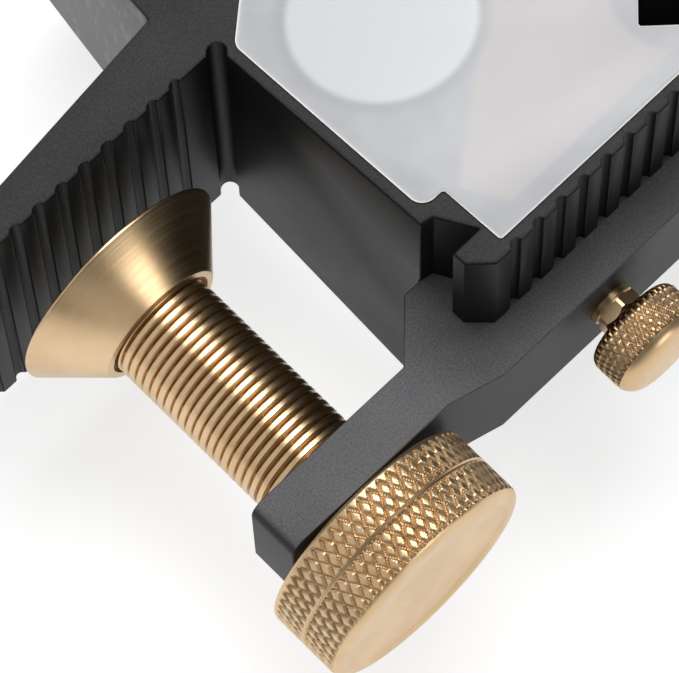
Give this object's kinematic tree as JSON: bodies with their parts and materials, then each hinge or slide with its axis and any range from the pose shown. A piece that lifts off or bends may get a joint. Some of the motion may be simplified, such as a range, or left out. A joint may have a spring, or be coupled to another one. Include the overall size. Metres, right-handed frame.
{
  "type": "dovetail jig",
  "caption": "Magnetic saw guide for dovetails: a wedge-sided block with a ribbed fence, a board stop, a sliding clamp bar and brass clamp and lock screws.",
  "frame": {"origin": "on the fence's ribbed face, where the clamp screw's axis meets it, midway between the saw faces", "axes": "+X along the clamp screw towards its knob, +Y along the fence towards the board stop, +Z along the ribs towards the upper saw face"},
  "size_m": [0.0788, 0.0844, 0.0506],
  "materials": {
    "anodised_body": "fine blasted black anodised",
    "anodised_bar": "milled black anodised",
    "brass": "turned and knurled, satin",
    "film": "low-friction sheet, matte",
    "magnet": "nickel plated",
    "keeper_steel": "plain",
    "steel": "zinc plated",
    "shoe_plastic": "natural nylon"
  },
  "bodies": {
    "guide": {"guide_body": "anodised_body", "upper_film": "film", "lower_film": "film", "upper_near_magnet": "magnet", "upper_far_magnet": "magnet", "lower_near_magnet": "magnet", "lower_far_magnet": "magnet", "upper_near_keeper": "keeper_steel", "upper_far_keeper": "keeper_steel", "lower_near_keeper": "keeper_steel", "lower_far_keeper": "keeper_steel"},
    "bar": {"clamp_bar": "anodised_bar", "bar_key": "steel", "key_screws": "steel", "lock_bush": "brass"},
    "pad": {"clamp_pad": "brass"},
    "spindle": {"clamp_screw": "brass", "clamp_knob": "brass", "pad_washer": "steel", "pad_screw": "steel"},
    "shoe": {"lock_shoe": "shoe_plastic"},
    "lock": {"lock_stud": "steel", "lock_knob": "brass"}
  },
  "joints": [
    {"name": "bar_slide", "type": "slide", "parent": "guide", "child": "bar", "axis": [0, 1, 0], "range_m": [-0.01, 0.0035]},
    {"name": "clamp_travel", "type": "slide", "parent": "bar", "child": "pad", "axis": [1, 0, 0], "range_m": [-0.0008, 0.019]},
    {"name": "clamp_turn", "type": "hinge", "parent": "pad", "child": "spindle", "pos_m": [0.02, 0, 0], "axis": [1, 0, 0], "range_deg": [-288.01, 6840.01]},
    {"name": "lock_travel", "type": "slide", "parent": "bar", "child": "shoe", "axis": [1, 0, 0], "range_m": [0, 0.001]},
    {"name": "lock_turn", "type": "hinge", "parent": "shoe", "child": "lock", "pos_m": [0.04, 0.03305, 0], "axis": [1, 0, 0], "range_deg": [-0.01, 720.01]}
  ],
  "couplings": [
    {"joint": "clamp_turn", "follows": "clamp_travel", "rad_per_m": 6283.2},
    {"joint": "lock_turn", "follows": "lock_travel", "rad_per_m": 12566}
  ]
}
